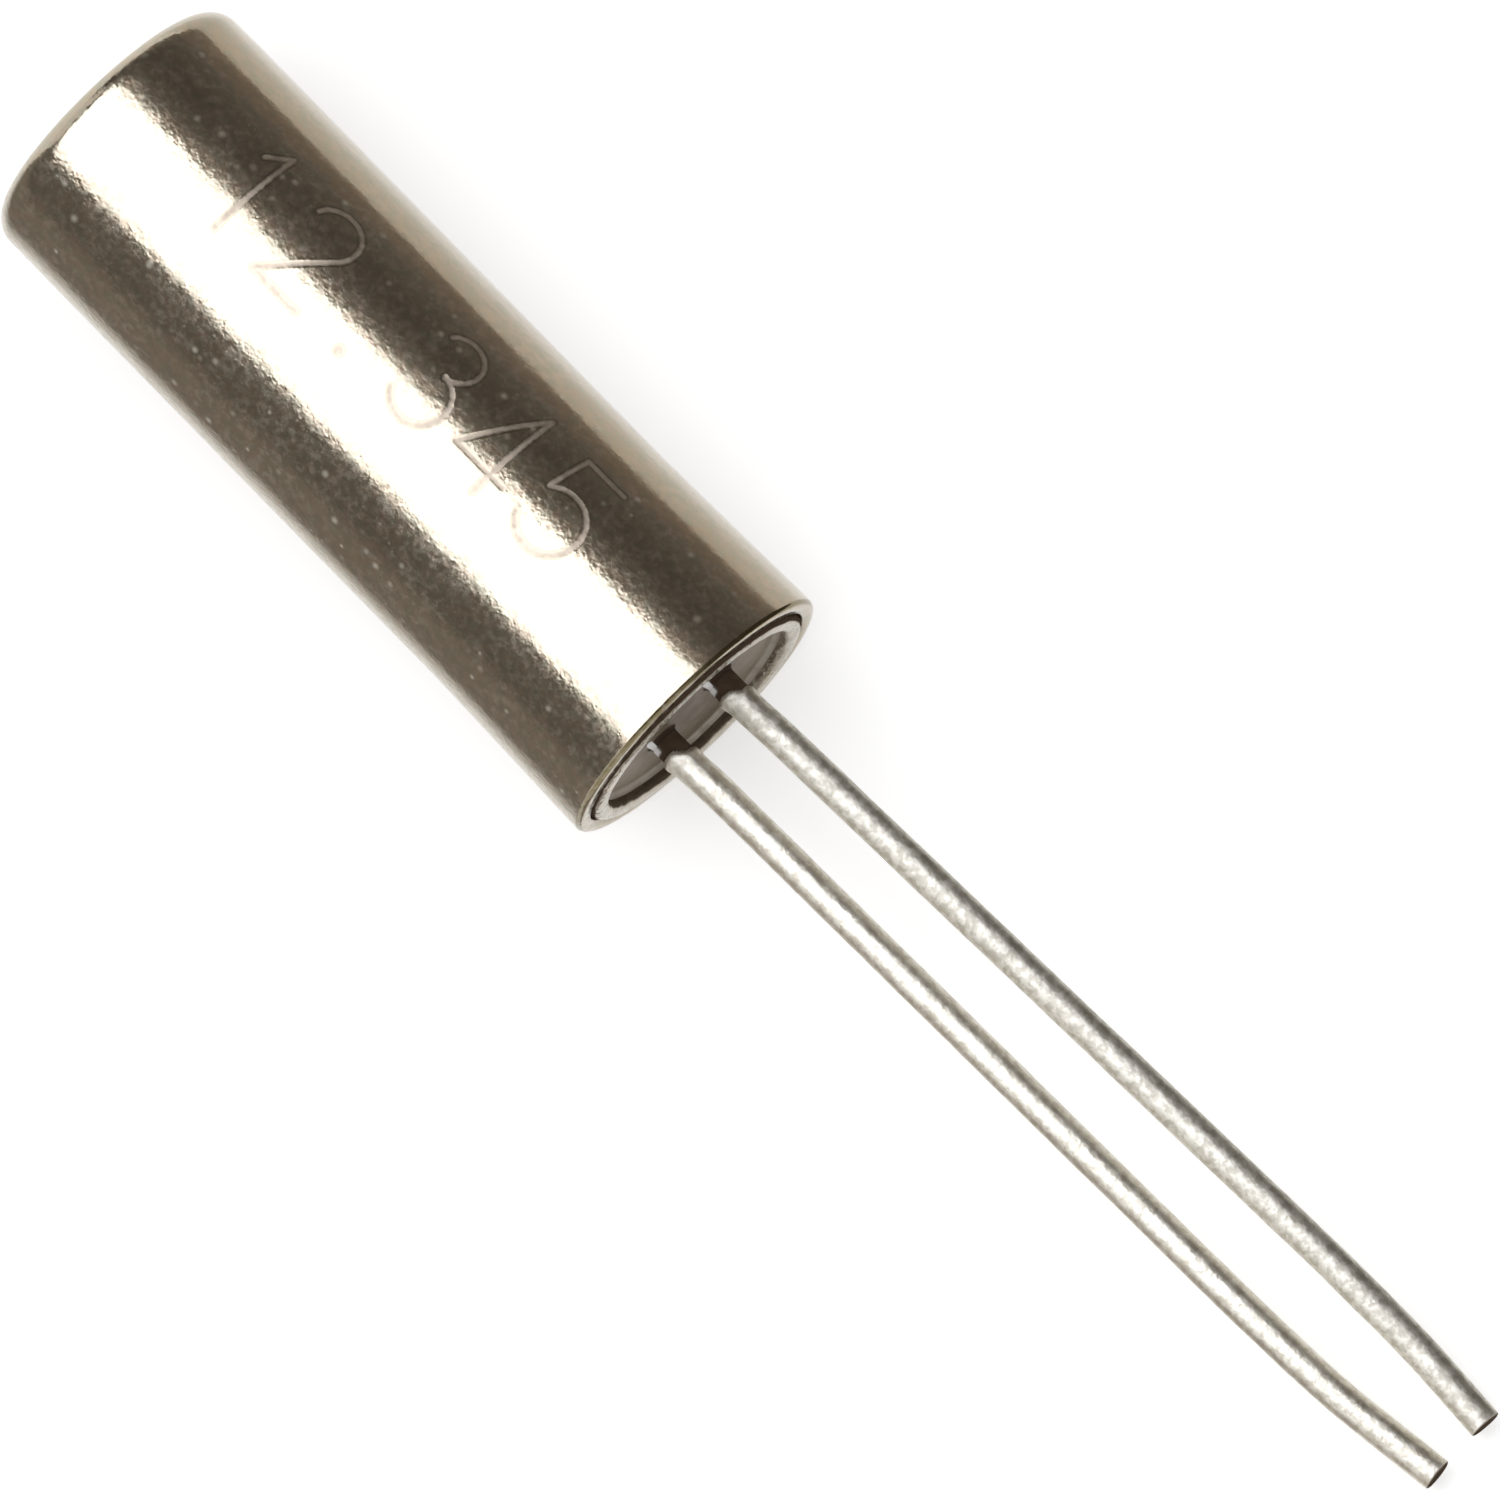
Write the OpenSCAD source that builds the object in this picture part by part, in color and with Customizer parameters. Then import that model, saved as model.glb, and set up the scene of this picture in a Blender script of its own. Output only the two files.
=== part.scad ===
// Cylindrical quartz crystal unit, 3 mm by 8 mm class: a tuning fork of quartz in a drawn
// metal can, held by two wire leads that are sealed through a glass header.
// The part lies on its side. +X runs out along the leads and +Z is up.

/* [Can] */
// Outer diameter of the can, mm
can_d = 3.0; // [2.8:0.05:3.2]
// Length of the can from its closed end to its open mouth, mm
can_len = 8.22; // [7.60:0.02:9.00]
// Thickness of the drawn sheet, mm
can_wall = 0.13; // [0.10:0.01:0.18]
// Radius of the edge round the closed end, mm
end_edge_r = 0.27; // [0.22:0.01:0.45]
// How far the mouth stands proud of the can all round, where the header spreads it, mm
mouth_swell = 0.05; // [0.01:0.01:0.06]
// Length of the tapered stretch that leads up to the mouth, mm
mouth_taper_len = 1.90; // [0.60:0.10:2.40]

/* [Header] */
// Length of the header ring along the can, mm
ring_len = 1.30; // [1.00:0.05:1.60]
// Radial width of the header ring, mm
ring_w = 0.21; // [0.18:0.01:0.30]
// How far the ring's face stands out of the mouth, mm
ring_proud = 0.035; // [0.000:0.005:0.060]
// Radius of the ring's outer shoulder, which leaves a groove inside the can's lip, mm
ring_shoulder_r = 0.08; // [0.05:0.01:0.10]
// How far the glass lies below the ring's faces, mm
glass_recess = 0.17; // [0.14:0.01:0.25]
// Radius of the meniscus where the glass climbs the ring and the wires, mm
meniscus_r = 0.06; // [0.03:0.01:0.07]

/* [Leads] */
// Distance between the centres of the two leads where they leave the glass, mm
lead_pitch = 0.81; // [0.70:0.01:1.10]
// Angle of the pair of leads about the can's axis, degrees
lead_roll = 15; // [0:1:30]
// Diameter of the bare wire, in the glass and inside the can, mm
wire_d = 0.30; // [0.26:0.01:0.32]
// Diameter of the lead where solder coats it, mm
lead_d = 0.34; // [0.33:0.01:0.38]
// Length of the left lead beyond the mouth, along the wire, mm
lead_left_len = 10.08; // [9.60:0.02:12.00]
// Length of the right lead beyond the mouth, along the wire, mm
lead_right_len = 10.08; // [9.60:0.02:12.00]
// Length of bare wire that shows beyond the mouth before the solder starts, mm
bare_len = 0.06; // [0.04:0.01:0.10]

/* [Tuning fork] */
// Overall length of the fork, mm
fork_len = 5.9; // [5.5:0.1:6.1]
// Overall width of the fork, mm
fork_w = 1.30; // [1.20:0.02:1.50]
// Thickness of the quartz, mm
fork_t = 0.40; // [0.30:0.02:0.50]
// Width of the slot between the two tines, mm
slot_w = 0.30; // [0.20:0.02:0.40]
// Length of the slot between the two tines, mm
slot_len = 3.7; // [3.2:0.1:4.0]

/* [Hidden] */
$fn = 72;
wire_fn = 32;            // facets round a wire in the preview

can_r = can_d / 2;
mouth_r = can_r + mouth_swell;
bore_r = can_r - can_wall;
lip_r = 0.06;           // rounding of the can's lip on its outer side
lip_bevel = 0.05;       // depth of the bevel inside the lip, one wall of the groove
lip_bevel_w = 0.03;     // width of that bevel across the wall's edge
ring_bore_r = bore_r - ring_w;
ring_back = ring_proud - ring_len;
edge_break = 0.07;      // rounding of the ring's inner edge at the front
cut_clear = 1;          // how far a cutting shape runs on past what it cuts
glass_front = ring_proud - glass_recess;
glass_back = ring_back + glass_recess;

wire_r = wire_d / 2;
lead_r = lead_d / 2;
pair_shift = 0.02;      // how far the pair of leads sits off the middle of the glass
wire_inner_len = 0.85;   // length of bare wire that stands out of the back of the glass
fork_gap = 0.25;        // gap between the glass and the fork's foot
wire_inner_end = glass_back - wire_inner_len;
seat_h = 0.05;          // height above the wire's axis of the flat that carries the fork
fork_base_end = glass_back - fork_gap;
solder_r = 0.235;
solder_inset = 0.06;    // bare ends of the wire that stand out of the solder

// Each lead bends down to the surface as it leaves the header, and again near its tip.
// Turns are [angle, direction, start]: 0 degrees of direction points down, 90 points to +Y,
// and the start is the distance along the wire from the mouth to the bend.
root_bend_r = 2.5;
tip_bend_r = 7.5;
root_turn_left = [7.55, 8.1, 0.15];
root_turn_right = [8.96, 12.8, 0.15];
tip_turn_left = [5.8, 90, 8.35];
tip_turn_right = [4.9, -90, 8.70];
burr = 0.03;            // rounding of the snipped end

function arc_len(radius, angle) = radius * angle * PI / 180;

// How far a lead's tip lies beyond the mouth, measured along the can's axis
function reach(len, root, tip) =
    let (run = tip[2] - root[2] - arc_len(root_bend_r, root[0]),
         tail = len - tip[2] - arc_len(tip_bend_r, tip[0]),
         between = cos(root[1] - tip[1]),
         along = cos(root[0]) * cos(tip[0]) - sin(root[0]) * sin(tip[0]) * between,
         across = cos(root[0]) * sin(tip[0])
                  - sin(root[0]) * (1 - cos(tip[0])) * between)
    root[2] + root_bend_r * sin(root[0]) + run * cos(root[0])
    + tip_bend_r * across + tail * along + lead_r * sqrt(1 - along * along);

overall = can_len + max(reach(lead_left_len, root_turn_left, tip_turn_left),
                        reach(lead_right_len, root_turn_right, tip_turn_right));
mouth_x = can_len - overall / 2;

// Takes the can's own frame, with its axis along Z and the mouth at zero, to the lying pose.
// In the can's frame +X points down to the surface and +Y is the part's +Y.
module lie_down()
    translate([mouth_x, 0, mouth_r]) rotate([0, 90, 0]) children();

// A lead's place in the glass. side is -1 for the left lead and +1 for the right one.
module at_lead(side)
    rotate([0, 0, lead_roll]) translate([0, side * lead_pitch / 2 + pair_shift, 0]) children();

// The can's outer outline, from the axis outwards
module can_outline() {
    translate([0, end_edge_r - can_len])
        square([can_r, can_len - end_edge_r - mouth_taper_len]);
    translate([0, -can_len])
        square([can_r - end_edge_r, end_edge_r]);
    translate([can_r - end_edge_r, end_edge_r - can_len])
        circle(r = end_edge_r);
    polygon([[0, -mouth_taper_len], [can_r, -mouth_taper_len], [mouth_r, -lip_r],
             [mouth_r - lip_r, 0], [0, 0]]);
    translate([mouth_r - lip_r, -lip_r])
        circle(r = lip_r);
}

// The hollow inside the can, with the bevelled mouth
module can_hollow() {
    inner_edge_r = end_edge_r - can_wall;
    floor_z = can_wall - can_len;
    translate([0, floor_z + inner_edge_r])
        square([bore_r, can_len]);
    translate([0, floor_z])
        square([bore_r - inner_edge_r, inner_edge_r * 2]);
    translate([bore_r - inner_edge_r, floor_z + inner_edge_r])
        circle(r = inner_edge_r);
    polygon([[0, -lip_bevel], [bore_r, -lip_bevel], [bore_r + lip_bevel_w, 0],
             [bore_r + lip_bevel_w, cut_clear], [0, cut_clear]]);
}

// Keeps the part of an outline on the +X side of the axis, which is what gets revolved
module revolve()
    rotate_extrude() intersection() {
        children();
        translate([0, -can_len - cut_clear]) square([can_d, can_len + cut_clear * 2]);
    }

module can()
    color([0.66, 0.62, 0.56])
    lie_down()
    revolve() difference() {
        can_outline();
        can_hollow();
    }

// The ring's wall: a round shoulder at the front, soft inner edges, a lead-in at the back
module ring_section() {
    r = ring_shoulder_r;
    e = edge_break;
    difference() {
        translate([ring_bore_r, ring_back]) square([ring_w, ring_len]);
        translate([bore_r - r, ring_proud - r]) square(r * 2);
        translate([ring_bore_r - e, ring_proud - e]) square(e * 2);
        translate([bore_r - r, ring_back - r]) square(r * 2);
    }
    translate([bore_r - r, ring_proud - r]) circle(r = r);
    translate([bore_r - r, ring_back + r]) circle(r = r);
    translate([ring_bore_r + e, ring_proud - e]) circle(r = e);
}

module header_ring()
    color([0.78, 0.77, 0.74])
    lie_down()
    revolve() ring_section();

// The corner that a meniscus fills between a flat and a wall at radius wall_r.
// out is +1 where the wall stands outside the glass and -1 where it stands inside.
module meniscus(wall_r, out)
    translate([wall_r, 0]) difference() {
        translate([out > 0 ? -meniscus_r : 0, -meniscus_r]) square([meniscus_r, meniscus_r * 2]);
        translate([-out * meniscus_r, meniscus_r]) circle(r = meniscus_r);
    }

module glass_seal()
    color([0.22, 0.21, 0.20])
    lie_down()
    difference() {
        union() {
            revolve() {
                translate([0, glass_back]) square([ring_bore_r, glass_front - glass_back]);
                translate([0, glass_front]) meniscus(ring_bore_r, 1);
            }
            for (side = [-1, 1])
                at_lead(side) translate([0, 0, glass_front])
                    rotate_extrude() meniscus(wire_r, -1);
        }
        for (side = [-1, 1])
            at_lead(side) translate([0, 0, glass_back - cut_clear])
                cylinder(r = wire_r, h = ring_len + cut_clear * 2);
    }

// A straight stretch of lead along +Z
module straight(len)
    cylinder(r = lead_r, h = len);

// A bent stretch of lead that turns from +Z, with whatever follows it carried to its end
module bend(turn, radius)
    rotate([0, 0, turn[1]]) {
        translate([radius, 0, 0]) mirror([1, 0, 0]) rotate([90, 0, 0])
            rotate_extrude(angle = turn[0]) translate([radius, 0]) circle(r = lead_r);
        translate([radius * (1 - cos(turn[0])), 0, radius * sin(turn[0])])
            rotate([0, turn[0], 0]) rotate([0, 0, -turn[1]]) children();
    }

// The snipped end of a lead
module tip(len)
    rotate_extrude() {
        square([lead_r, len - burr]);
        square([lead_r - burr, len]);
        translate([lead_r - burr, len - burr]) circle(r = burr);
    }

// The solder-coated lead beyond the mouth
module coated_lead(len, root, tip_turn) {
    shoulder = lead_r - wire_r;
    run = tip_turn[2] - root[2] - arc_len(root_bend_r, root[0]);
    translate([0, 0, bare_len]) rotate_extrude() difference() {
        square([lead_r, root[2] - bare_len]);
        translate([wire_r, 0]) difference() {
            square(shoulder);
            translate([0, shoulder]) circle(r = shoulder);
        }
    }
    translate([0, 0, root[2]]) bend(root, root_bend_r) {
        straight(run);
        translate([0, 0, run]) bend(tip_turn, tip_bend_r)
            tip(len - tip_turn[2] - arc_len(tip_bend_r, tip_turn[0]));
    }
}

// The bare wire, with a flat ground on its inner end for the fork
module bare_wire()
    difference() {
        translate([0, 0, wire_inner_end])
            cylinder(r = wire_r, h = bare_len - wire_inner_end);
        translate([-wire_d - seat_h, -wire_d, wire_inner_end - cut_clear])
            cube([wire_d, wire_d * 2, fork_base_end - wire_inner_end + cut_clear]);
    }

module lead(side, len, root, tip_turn) {
    $fn = wire_fn;
    color([0.74, 0.73, 0.70])
    lie_down() {
        at_lead(side) bare_wire();
        at_lead(side) rotate([0, 0, -lead_roll]) coated_lead(len, root, tip_turn);
    }
}

module lead_left() lead(-1, lead_left_len, root_turn_left, tip_turn_left);

module lead_right() lead(1, lead_right_len, root_turn_right, tip_turn_right);

// The fork's outline, with its foot at zero and its tines pointing along -Y
module fork_outline() {
    foot_bevel = 0.15;
    notch = [0.14, 0.22];
    notch_y = slot_len - fork_len + 0.45;
    difference() {
        translate([-fork_w / 2, -fork_len]) square([fork_w, fork_len]);
        translate([-slot_w / 2, -fork_len - cut_clear])
            square([slot_w, slot_len + cut_clear - slot_w / 2]);
        translate([0, slot_len - fork_len - slot_w / 2]) circle(d = slot_w);
        for (side = [-1, 1]) {
            translate([side * fork_w / 2 - notch[0], notch_y])
                square([notch[0] * 2, notch[1]]);
            translate([side * fork_w / 2, 0]) rotate(45)
                square(foot_bevel * sqrt(2), center = true);
        }
    }
}

module fork_body()
    rotate([0, 0, lead_roll])
    translate([-seat_h - fork_t, 0, fork_base_end])
    rotate([90, 0, 90])
    linear_extrude(height = fork_t) fork_outline();

module quartz_fork()
    color([0.85, 0.88, 0.90])
    lie_down() fork_body();

// Solder that wraps the wire's flattened end and wets the foot of the fork above it
module solder_joint(side)
    color([0.70, 0.71, 0.72])
    lie_down()
    difference() {
        at_lead(side) translate([0, 0, wire_inner_end + solder_inset + solder_r]) {
            sphere(r = solder_r);
            cylinder(r = solder_r,
                     h = fork_base_end - wire_inner_end - (solder_inset + solder_r) * 2);
            translate([0, 0, fork_base_end - wire_inner_end - (solder_inset + solder_r) * 2])
                sphere(r = solder_r);
        }
        at_lead(side) bare_wire();
        rotate([0, 0, lead_roll])
            translate([-seat_h - fork_t, -fork_w, wire_inner_end - cut_clear])
            cube([fork_t, fork_w * 2, fork_len]);
    }

module solder_joint_left() solder_joint(-1);

module solder_joint_right() solder_joint(1);

can();
header_ring();
glass_seal();
lead_left();
lead_right();
quartz_fork();
solder_joint_left();
solder_joint_right();
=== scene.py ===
import math

import bpy
import numpy as np
from mathutils import Matrix, Vector, noise
from mathutils.bvhtree import BVHTree


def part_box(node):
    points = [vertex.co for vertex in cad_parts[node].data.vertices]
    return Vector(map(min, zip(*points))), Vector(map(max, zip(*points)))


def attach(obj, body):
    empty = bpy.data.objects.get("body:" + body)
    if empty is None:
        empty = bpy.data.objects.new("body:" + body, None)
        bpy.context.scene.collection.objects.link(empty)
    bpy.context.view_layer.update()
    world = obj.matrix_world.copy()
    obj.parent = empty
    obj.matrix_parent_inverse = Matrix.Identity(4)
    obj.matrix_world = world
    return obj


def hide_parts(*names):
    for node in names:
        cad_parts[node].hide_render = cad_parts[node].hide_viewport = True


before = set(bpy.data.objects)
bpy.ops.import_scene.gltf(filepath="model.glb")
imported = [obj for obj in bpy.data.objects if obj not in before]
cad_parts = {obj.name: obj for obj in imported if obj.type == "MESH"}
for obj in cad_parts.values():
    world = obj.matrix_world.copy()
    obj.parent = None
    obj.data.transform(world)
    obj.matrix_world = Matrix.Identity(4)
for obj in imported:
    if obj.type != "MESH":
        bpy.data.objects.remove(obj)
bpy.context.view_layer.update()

# A cylindrical quartz crystal lying on a pale floor. The can gets its engraved mark, the leads
# their uneven coat of solder, and every surface a procedural finish. Lengths are in metres.

MM = 0.001
MICRON = 0.001 * MM

# Can: the CAD part's sizes, but its mouth starts to spread 0.2 mm further back
EDGE_R = 0.27 * MM          # radius round the closed end
WALL = 0.13 * MM            # thickness of the sheet
MOUTH_SWELL = 0.05 * MM     # how far the mouth stands proud of the barrel
MOUTH_TAPER = 2.10 * MM     # length of the stretch that widens towards the mouth
MOUTH_CURVE = 1.15          # power by which it widens: 1 would be a straight cone
LIP_R = 0.06 * MM           # rounding of the lip on its outer side
LIP_BEVEL = 0.05 * MM       # depth of the bevel inside the lip
LIP_BEVEL_W = 0.03 * MM     # width of that bevel

# Engraved mark: plain numerals in one line along the can
MARK = "12.345"
MARK_PITCH = 0.866 * MM     # distance from one character to the next
MARK_START = 6.41 * MM      # distance of the first character's centre from the mouth
MARK_HEIGHT = 1.10 * MM
MARK_BASELINE = -0.02 * MM  # place of the baseline round the can, from its topmost line
STROKE_W = 0.062 * MM
STROKE_DEPTH = 0.0033 * MM
STROKE_STEP = 0.011 * MM    # mesh spacing where the mark is cut
RIM_PLACE = 0.62 * STROKE_W     # distance of a stroke's raised rim from its middle
RIM_W = 0.14 * STROKE_W
RIM_HEIGHT = 0.25 * STROKE_DEPTH
MARK_SECTOR = 1.0           # angle from the topmost line within which the mark lies, in radians

# Leads: the CAD part's sizes, but the coat is 0.003 mm thinner
WIRE_R = 0.15 * MM          # bare wire
COAT_R = 0.167 * MM         # wire with its coat of solder
ROOT_STRAIGHT = 0.15 * MM   # straight stretch beyond the mouth
SEAT_H = 0.05 * MM          # height of the flat on the wire's inner end
BURR = 0.02 * MM            # rounding of the snipped end
GLASS_RECESS = 0.135 * MM   # depth of the glass below the mouth

# Leads: their finish and mesh, which the CAD part doesn't have
FROST = {"lead_left": 0.25, "lead_right": 0.9}      # how frosted each lead's solder is
CUT_SLANT = 0.08            # slope of the snipped end, whose upper side is the shorter
SNIP_LEN = 0.25 * MM        # stretch over which the end leans to that slope
LEAD_SIDES = 40             # points round a lead
MOUTH_RAYS = 80             # rays across the mouth that find where a lead leaves it
TRACE_STEP = 0.05 * MM      # spacing of the rays that find a lead's centre from there on
PATH_STEP = 0.02 * MM       # spacing of the points on its smoothed centre line
SMOOTH_SPAN = 23            # how many of those points each one is averaged over
SMOOTH_PAD = 30             # how many are added at each end, so that the ends stay in place

# Stage and camera
FLOOR_HALF = 2.0                     # half the floor's width
FLOOR_ALBEDO = 0.80
FLOOR_LIFT = 0.50                    # light that the floor adds where it is looked at
AMBIENT = 0.60                       # light from all round, on matt surfaces
CARD_BACK = -14 * MM                 # where the cards beside the can start, along X
VIEW_TILT = math.radians(10.5)       # from straight down, towards the leads
VIEW_ROLL = math.radians(45.6)       # the can's axis below the picture's horizontal
VIEW_WIDTH = 14.245 * MM             # width of the picture at the part
VIEW_SHIFT = (0.499 * MM, -0.299 * MM)   # from the can's mouth to the picture's centre
CAMERA_DISTANCE = 0.5

can_low, can_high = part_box("can")
AXIS_Z = (can_low.z + can_high.z) / 2
MOUTH_X = can_high.x
CAN_LEN = can_high.x - can_low.x
MOUTH_R = (can_high.z - can_low.z) / 2
CAN_R = MOUTH_R - MOUTH_SWELL
BORE_R = CAN_R - WALL
GLASS_R = (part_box("glass_seal")[1].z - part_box("glass_seal")[0].z) / 2


# ---------------------------------------------------------------- meshes

def tube_mesh(name, rings, start_cap, end_cap):
    """A mesh object from rings of points (rings, points round, 3), closed by points at its ends."""
    count, around = rings.shape[:2]
    points = [rings.reshape(-1, 3)]
    faces = []
    for i in range(count - 1):
        for j in range(around):
            k = (j + 1) % around
            here, ahead = i * around, (i + 1) * around
            faces.append((here + j, here + k, ahead + k, ahead + j))
    for cap, row, flip in ((start_cap, 0, True), (end_cap, count - 1, False)):
        hub = sum(len(p) for p in points)
        points.append(np.array([cap]))
        for j in range(around):
            a, b = row * around + j, row * around + (j + 1) % around
            faces.append((hub, b, a) if flip else (hub, a, b))
    mesh = bpy.data.meshes.new(name)
    mesh.from_pydata(np.concatenate(points).tolist(), [], faces)
    mesh.shade_smooth()
    piece = bpy.data.objects.new(name, mesh)
    bpy.context.scene.collection.objects.link(piece)
    return piece


def set_attribute(piece, name, values):
    """Stores one number for each point of the mesh, for its material to read."""
    attribute = piece.data.attributes.new(name, "FLOAT", "POINT")
    padded = np.zeros(len(piece.data.vertices), np.float32)
    padded[: len(values)] = values
    attribute.data.foreach_set("value", padded)


def smoothstep(x):
    """Rises smoothly from 0 to 1 as x does, and stays within them."""
    x = np.clip(x, 0, 1)
    return x * x * (3 - 2 * x)


# ---------------------------------------------------------------- engraved mark

def arc(cx, cy, radius, start, end, count=24):
    """Points along an arc, in shares of the character height, with angles in degrees."""
    angles = np.radians(np.linspace(start, end, count))
    return [(cx + radius * math.cos(a), cy + radius * math.sin(a)) for a in angles]


def numeral(char):
    """The strokes of one character, as lists of points in shares of the character height."""
    return {
        "1": [[(-0.14, 0.78), (0.04, 0.98), (0.04, 0.0)]],
        "2": [arc(0, 0.72, 0.26, 165, -35) + [(-0.27, 0.0), (0.28, 0.0)]],
        "3": [arc(-0.02, 0.75, 0.23, 150, -80) + arc(-0.01, 0.27, 0.27, 85, -150)],
        "4": [[(0.13, 0.0), (0.13, 1.0), (-0.29, 0.21), (0.29, 0.21)]],
        "5": [[(0.25, 0.98), (-0.19, 0.98), (-0.24, 0.52)] + arc(0, 0.31, 0.31, 130, -150)],
        ".": [arc(0, 0.03, 0.025, 0, 360, 9)],
    }[char]


def mark_segments():
    """All straight pieces of the mark's strokes, along the can and round it, in metres."""
    pieces = []
    for i, char in enumerate(MARK):
        centre = -MARK_START + i * MARK_PITCH
        for stroke in numeral(char):
            points = np.array(stroke) * MARK_HEIGHT + (centre, MARK_BASELINE)
            pieces.append(np.stack([points[:-1], points[1:]], axis=1))
    return np.concatenate(pieces)


def distance_to(segments, x, y):
    """The distance of each point (x, y) from the nearest of the segments."""
    nearest = np.full(x.shape, np.inf)
    for (x0, y0), (x1, y1) in segments:
        dx, dy = x1 - x0, y1 - y0
        share = np.clip(((x - x0) * dx + (y - y0) * dy) / (dx * dx + dy * dy), 0, 1)
        nearest = np.minimum(nearest, np.hypot(x - x0 - share * dx, y - y0 - share * dy))
    return nearest


# ---------------------------------------------------------------- can

def steps(start, end, spacing):
    """Evenly spread values from start to end, no further apart than spacing, without the end."""
    count = max(1, math.ceil(abs(end - start) / spacing))
    return np.linspace(start, end, count, endpoint=False)


def can_profile():
    """The can's closed section as (place along the can from the mouth, radius), pole to pole."""
    closed_end = -CAN_LEN
    hub_r = 0.3 * MM
    profile = [(closed_end, r) for r in steps(hub_r, CAN_R - EDGE_R, 0.2 * MM)]
    for a in np.radians(steps(0, 90, 5)):
        profile.append((closed_end + EDGE_R * (1 - math.cos(a)), CAN_R - EDGE_R * (1 - math.sin(a))))
    mark_from = -MARK_START - MARK_PITCH / 2
    mark_to = mark_from + len(MARK) * MARK_PITCH
    for start, end, spacing in (
        (closed_end + EDGE_R, mark_from, 0.1 * MM),
        (mark_from, mark_to, STROKE_STEP),
        (mark_to, -LIP_R, 0.05 * MM),
    ):
        for x in steps(start, end, spacing):
            share = max(0.0, (x + MOUTH_TAPER) / (MOUTH_TAPER - LIP_R))
            profile.append((x, CAN_R + MOUTH_SWELL * share ** MOUTH_CURVE))
    for a in np.radians(steps(0, 90, 15)):
        profile.append((-LIP_R * (1 - math.sin(a)), MOUTH_R - LIP_R * (1 - math.cos(a))))
    inner_edge = EDGE_R - WALL
    profile += [(0, MOUTH_R - LIP_R), (0, BORE_R + LIP_BEVEL_W), (-LIP_BEVEL, BORE_R)]
    profile += [(x, BORE_R) for x in steps(-LIP_BEVEL - 0.5 * MM, closed_end + EDGE_R, 0.5 * MM)]
    for a in np.radians(steps(90, 0, 15)):
        along = closed_end + WALL + inner_edge * (1 - math.cos(a))
        profile.append((along, BORE_R - inner_edge * (1 - math.sin(a))))
    profile += [(closed_end + WALL, r) for r in steps(BORE_R - inner_edge, hub_r, 0.3 * MM)]
    return np.array(profile)


def can_angles():
    """Angles round the can from its topmost line, close together where the mark is cut."""
    mark_from = (MARK_BASELINE - STROKE_W) / CAN_R
    mark_to = (MARK_BASELINE + MARK_HEIGHT + STROKE_W) / CAN_R
    return np.concatenate([
        steps(mark_from, mark_to, STROKE_STEP / CAN_R),
        steps(mark_to, mark_from + math.tau, math.radians(6)),
    ])


def make_can():
    """The drawn can, with the mark cut into its barrel."""
    along, radius = can_profile().T
    angles = can_angles()
    x, angle = np.meshgrid(along, angles, indexing="ij")
    r = np.repeat(radius[:, None], len(angles), axis=1)
    outside = r > CAN_R - MICRON
    distance = np.full(x.shape, CAN_LEN)
    near = outside & (np.abs(angle) < MARK_SECTOR)
    distance[near] = distance_to(mark_segments(), x[near], angle[near] * CAN_R)
    cut = smoothstep(1.3 - distance / (STROKE_W / 2))       # 0 from a little past a stroke's edge
    rim = np.exp(-((distance - RIM_PLACE) / RIM_W) ** 2)
    r = r - cut * STROKE_DEPTH + rim * RIM_HEIGHT
    rings = np.stack([MOUTH_X + x, r * np.sin(angle), AXIS_Z + r * np.cos(angle)], axis=-1)
    poles = [(MOUTH_X + x_pole, 0, AXIS_Z) for x_pole in (-CAN_LEN, -CAN_LEN + WALL)]
    piece = tube_mesh("can_shell", rings, poles[0], poles[1])
    set_attribute(piece, "cut", cut.ravel())
    set_attribute(piece, "rim", rim.ravel())
    return piece


# ---------------------------------------------------------------- leads

def lead_line(node):
    """Points along a lead's centre, found by looking across the CAD lead from inside it."""
    tree = BVHTree.FromObject(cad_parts[node], bpy.context.evaluated_depsgraph_get())
    low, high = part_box(node)

    def middle(point, axis):
        """The middle of the lead through a point, along Y (1) or Z (2)."""
        hits = []
        for sign in (-1, 1):
            direction = Vector((0, 0, 0))
            direction[axis] = sign
            hits.append(tree.ray_cast(point, direction)[0])
        return (hits[0][axis] + hits[1][axis]) / 2

    def top(y):
        """The lead's upper side at the mouth, or None where y lies beside the lead."""
        return tree.ray_cast(Vector((MOUTH_X, y, high.z + 6 * COAT_R)), Vector((0, 0, -1)))[0]

    across = [y for y in np.linspace(low.y, high.y, MOUTH_RAYS) if top(y) is not None]
    centre = Vector((MOUTH_X, float(np.mean(across)), 0))
    centre.z = top(centre.y).z - WIRE_R
    line = []
    for x in np.arange(MOUTH_X, high.x - COAT_R * 0.6, TRACE_STEP):
        centre.x = x
        for _ in range(4):      # four rounds settle it
            centre.y = middle(centre, 1)
            centre.z = middle(centre, 2)
        line.append(centre.copy())
        if len(line) > 1:
            centre += (line[-1] - line[-2]) * 0.9
    tip_direction = (line[-1] - line[-8]).normalized()      # over the last seven steps
    end = tree.ray_cast(line[-1], tip_direction)[0]
    return np.array(line), np.array(end)


def drift(node, beyond):
    """How far a lead strays to the side of its CAD line, so far beyond the mouth: 0.05 mm at most."""
    stops = {       # (beyond the mouth, to the side), in mm
        "lead_left": ((0.1, 0), (0.6, 0.024), (7.4, 0.026), (8.6, 0.046), (10, 0.050)),
        "lead_right": ((0.1, 0), (0.6, 0.018), (7.8, 0.021), (8.8, 0.0), (10, -0.004)),
    }[node]
    where, side = zip(*stops)
    return np.interp(beyond, np.array(where) * MM, np.array(side) * MM)


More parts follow.
